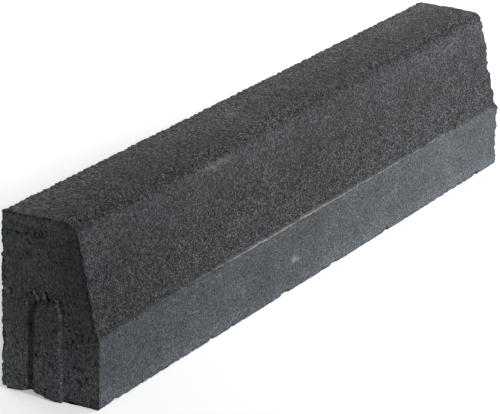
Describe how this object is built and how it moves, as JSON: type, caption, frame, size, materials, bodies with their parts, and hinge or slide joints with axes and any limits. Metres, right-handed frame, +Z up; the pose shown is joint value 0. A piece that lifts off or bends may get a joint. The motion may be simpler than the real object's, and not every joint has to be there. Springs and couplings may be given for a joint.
{
  "type": "concrete kerb stone",
  "caption": "Cast kerb stone with a battered road face above a narrow ledge, a rounded arris, and a key and a groove in its ends that line the stones up in a row.",
  "frame": {"origin": "middle of the bed face, on the floor, halfway between the end faces", "axes": "+Z up from the bed, X along the stone with the key on the -X end and the groove in the +X end, the road face towards -Y and the back face towards +Y"},
  "size_m": [1.005, 0.12, 0.2],
  "materials": {
    "kerb_stone": "rough matt precast concrete, dark anthracite, with a coarser grain on the battered face"
  },
  "bodies": {
    "root": {"kerb_stone": "kerb_stone"}
  },
  "joints": []
}
